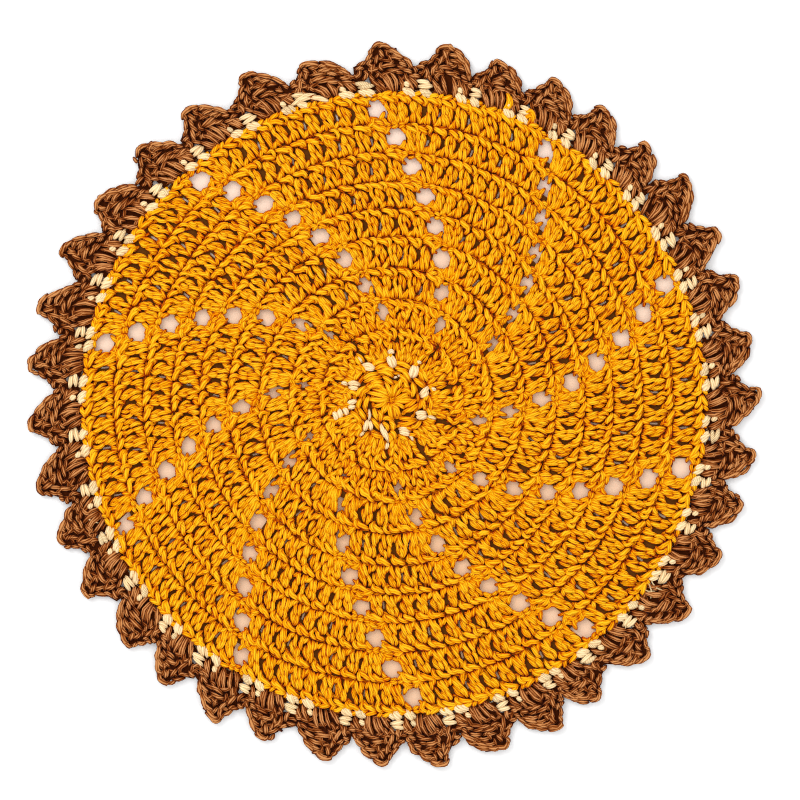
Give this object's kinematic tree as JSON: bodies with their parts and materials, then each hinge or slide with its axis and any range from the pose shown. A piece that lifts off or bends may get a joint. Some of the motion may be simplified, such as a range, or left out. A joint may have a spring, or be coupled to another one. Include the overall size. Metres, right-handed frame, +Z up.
{
  "type": "crocheted doily",
  "caption": "Flat round crocheted doily: gold rounds with swirling arms of eyelets, cream rounds and a brown sawtooth shell edging. Protects and decorates a table top.",
  "frame": {"origin": "middle of the first round, on the flat underside", "axes": "+Z up out of the right side of the work, +Y towards the top of the picture, +X to its right"},
  "size_m": [0.3234, 0.3189, 0.0042],
  "materials": {
    "gold_yarn": "golden yellow plied cotton yarn with a soft sheen",
    "cream_yarn": "cream plied cotton yarn with a soft sheen",
    "brown_yarn": "reddish brown plied cotton yarn with a soft sheen"
  },
  "bodies": {
    "root": {"centre_rosette": "gold_yarn", "inner_cream_round": "cream_yarn", "main_disc": "gold_yarn", "outer_cream_round": "cream_yarn", "shell_border": "brown_yarn"}
  },
  "joints": []
}
